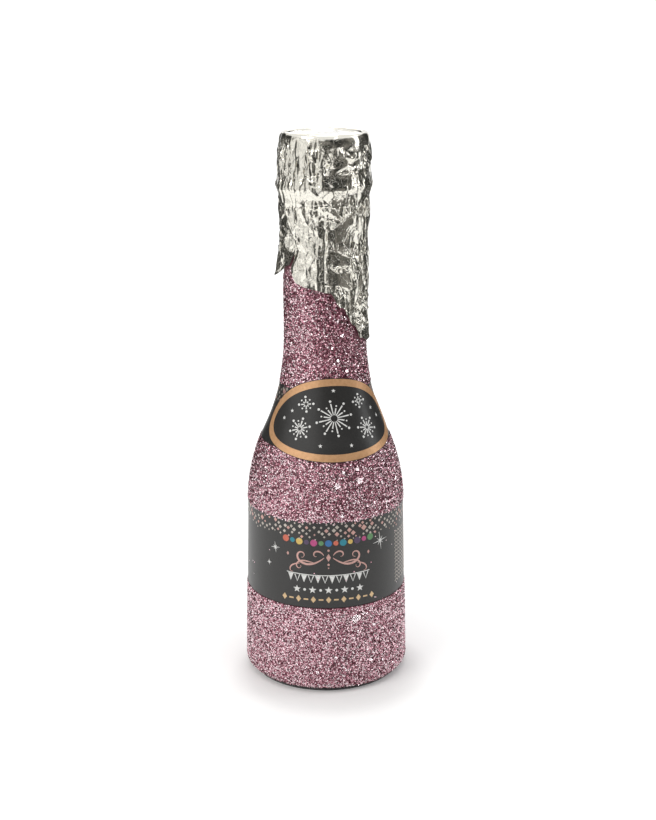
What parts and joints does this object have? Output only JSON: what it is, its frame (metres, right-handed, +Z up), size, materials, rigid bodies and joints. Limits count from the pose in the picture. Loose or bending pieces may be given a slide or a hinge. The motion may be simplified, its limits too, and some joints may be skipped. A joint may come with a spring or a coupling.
{
  "type": "confetti popper bottle",
  "caption": "Champagne-bottle confetti popper: glittered bottle, foil neck, wrapped labels, twist base that releases a sprung plunger, wad and tissue load.",
  "frame": {"origin": "middle of the foot ring, on the surface that the bottle stands on", "axes": "+Z up along the bottle towards its mouth; -Y is the front, where the labels face; +X is the right"},
  "size_m": [0.0606, 0.0606, 0.2],
  "materials": {
    "pink_glitter": "moulded plastic coated in pink polyester glitter",
    "black_label": "black gloss-coated paper label",
    "gold_print": "copper-gold print on the label's paper",
    "silver_foil": "thin crinkled aluminium foil",
    "white_plastic": "plain moulded white plastic",
    "black_plastic": "plain moulded black plastic",
    "nylon": "natural nylon",
    "spring_steel": "plain steel",
    "card": "grey-brown card",
    "tissue_pink": "pink tissue",
    "tissue_gold": "gold tissue",
    "tissue_blue": "blue tissue",
    "tissue_green": "green tissue",
    "tissue_violet": "violet tissue",
    "tissue_orange": "orange tissue"
  },
  "bodies": {
    "bottle": {"bottle_shell": "pink_glitter", "body_label": "black_label", "shoulder_band": "black_label", "neck_label": "black_label", "neck_label_border": "gold_print", "neck_foil": "silver_foil", "launch_barrel": "white_plastic", "trigger_housing": "white_plastic", "keeper_washer": "spring_steel", "launch_spring": "spring_steel"},
    "twist_base": {"twist_sleeve": "pink_glitter", "base_cap": "black_plastic"},
    "plunger_assembly": {"plunger": "white_plastic", "release_catch": "nylon", "catch_pin": "spring_steel"},
    "confetti_load": {"wad_disc": "card", "confetti_pink_1": "tissue_pink", "confetti_gold_1": "tissue_gold", "confetti_blue_1": "tissue_blue", "confetti_green_1": "tissue_green", "confetti_violet_1": "tissue_violet", "confetti_orange_1": "tissue_orange", "confetti_pink_2": "tissue_pink", "confetti_gold_2": "tissue_gold", "confetti_blue_2": "tissue_blue", "confetti_green_2": "tissue_green", "confetti_violet_2": "tissue_violet", "confetti_orange_2": "tissue_orange"},
    "mouth_seal": {"mouth_disc": "card", "foil_top": "silver_foil"}
  },
  "joints": [
    {"name": "base_twist", "type": "hinge", "parent": "bottle", "child": "twist_base", "pos_m": [0, 0, 0], "axis": [0, 0, 1], "range_deg": [0, 90], "deforming": ["release_catch"]},
    {"name": "plunger_shot", "type": "slide", "parent": "bottle", "child": "plunger_assembly", "axis": [0, 0, 1], "range_m": [0, 0.078], "deforming": ["launch_spring", "release_catch"]},
    {"name": "confetti_shot", "type": "slide", "parent": "plunger_assembly", "child": "confetti_load", "axis": [0, 0, 1], "range_m": [0, 0.05]},
    {"name": "seal_burst", "type": "slide", "parent": "confetti_load", "child": "mouth_seal", "axis": [0, 0, 1], "range_m": [0, 0.03]}
  ]
}
